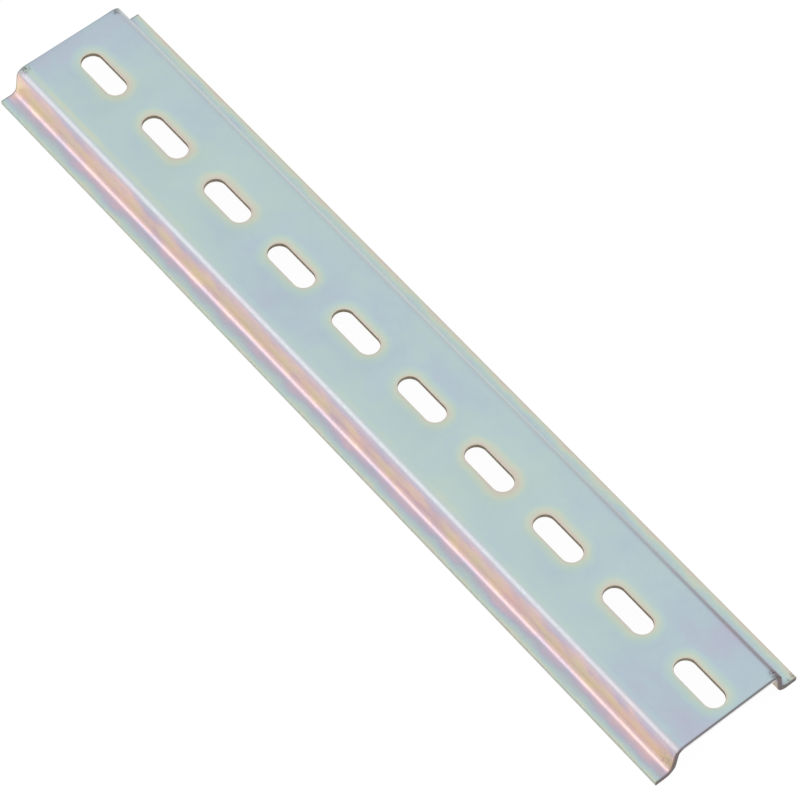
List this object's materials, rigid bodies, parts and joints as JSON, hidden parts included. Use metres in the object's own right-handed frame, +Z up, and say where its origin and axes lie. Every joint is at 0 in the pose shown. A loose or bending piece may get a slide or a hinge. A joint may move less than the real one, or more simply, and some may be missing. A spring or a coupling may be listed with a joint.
{
  "type": "din rail",
  "caption": "Slotted top hat mounting rail, roll-formed from yellow zinc-plated steel sheet, lying crown up on its flanges.",
  "frame": {"origin": "under the middle of the rail, level with the flanges' underside", "axes": "+X along the rail, +Y across it, +Z up through the crown, square to the panel that the crown is fastened to"},
  "size_m": [0.2, 0.035, 0.0075],
  "materials": {
    "zinc_plated_steel": "satin yellow chromate over zinc, with soft iridescent blotches"
  },
  "bodies": {
    "root": {"rail": "zinc_plated_steel"}
  },
  "joints": []
}
